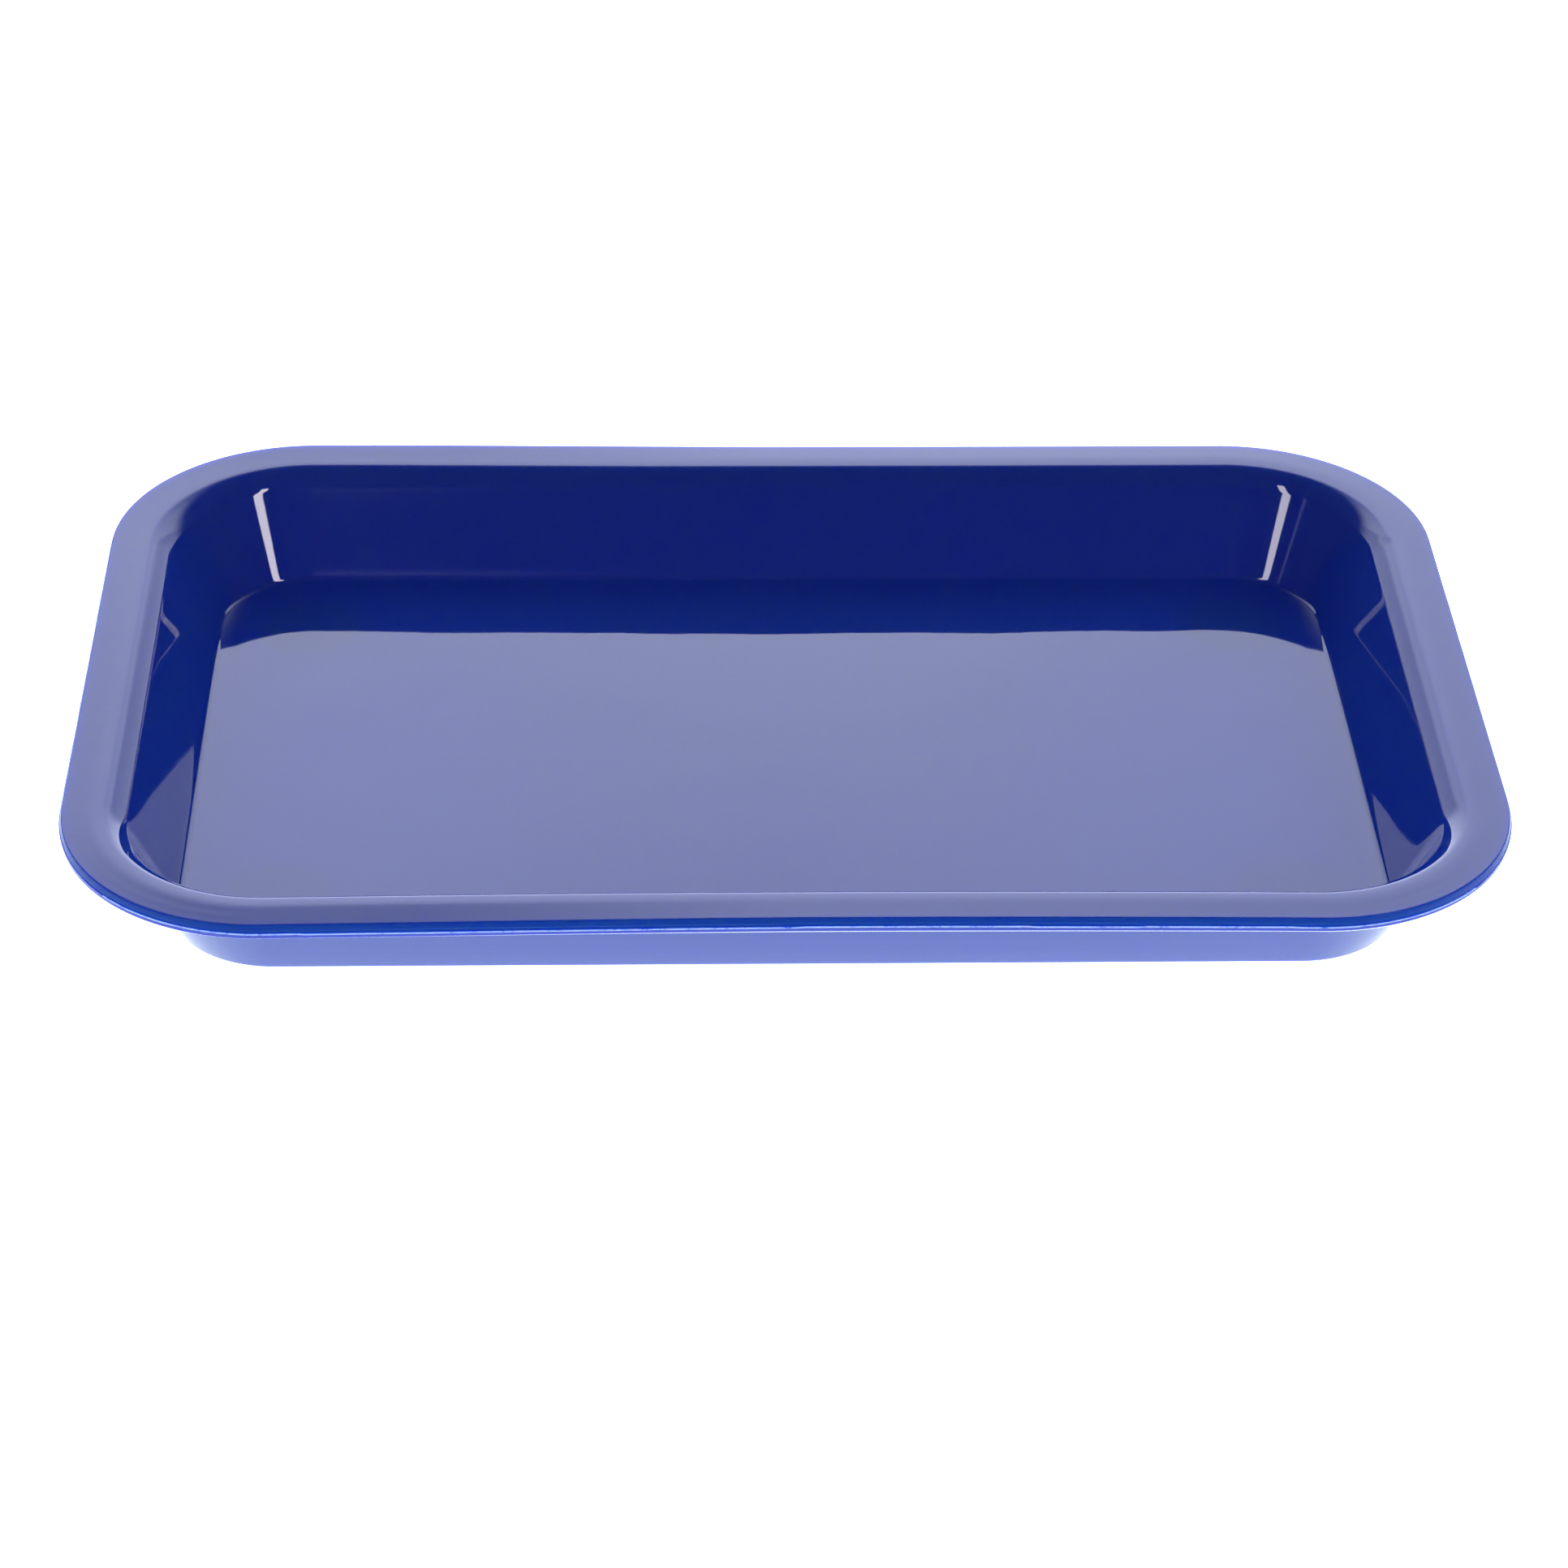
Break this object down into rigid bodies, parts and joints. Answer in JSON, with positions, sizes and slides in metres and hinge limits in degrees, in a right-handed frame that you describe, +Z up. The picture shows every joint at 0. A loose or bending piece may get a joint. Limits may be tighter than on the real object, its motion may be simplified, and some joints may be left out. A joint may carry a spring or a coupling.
{
  "type": "rectangular serving tray",
  "caption": "Shallow rectangular moulded plastic tray with a wide flat rim, rounded corners, sloping walls and round non-slip rubber feet, for carrying and serving.",
  "frame": {"origin": "on the table under the middle of the tray, which is the bottom centre of the bounding box, at the undersides of the feet", "axes": "+Z up out of the open side, +X along the tray's long side, -Y towards the long side nearest the viewer"},
  "size_m": [0.3, 0.195, 0.0268],
  "materials": {
    "blue_moulded_plastic": "polished royal blue, slightly translucent",
    "foot_rubber": "matt dark grey",
    "adhesive_film": "white double-sided foam tape"
  },
  "bodies": {
    "root": {"tray_shell": "blue_moulded_plastic", "foot_front_left": "foot_rubber", "foot_front_right": "foot_rubber", "foot_rear_left": "foot_rubber", "foot_rear_right": "foot_rubber", "foot_adhesive_discs": "adhesive_film"}
  },
  "joints": []
}
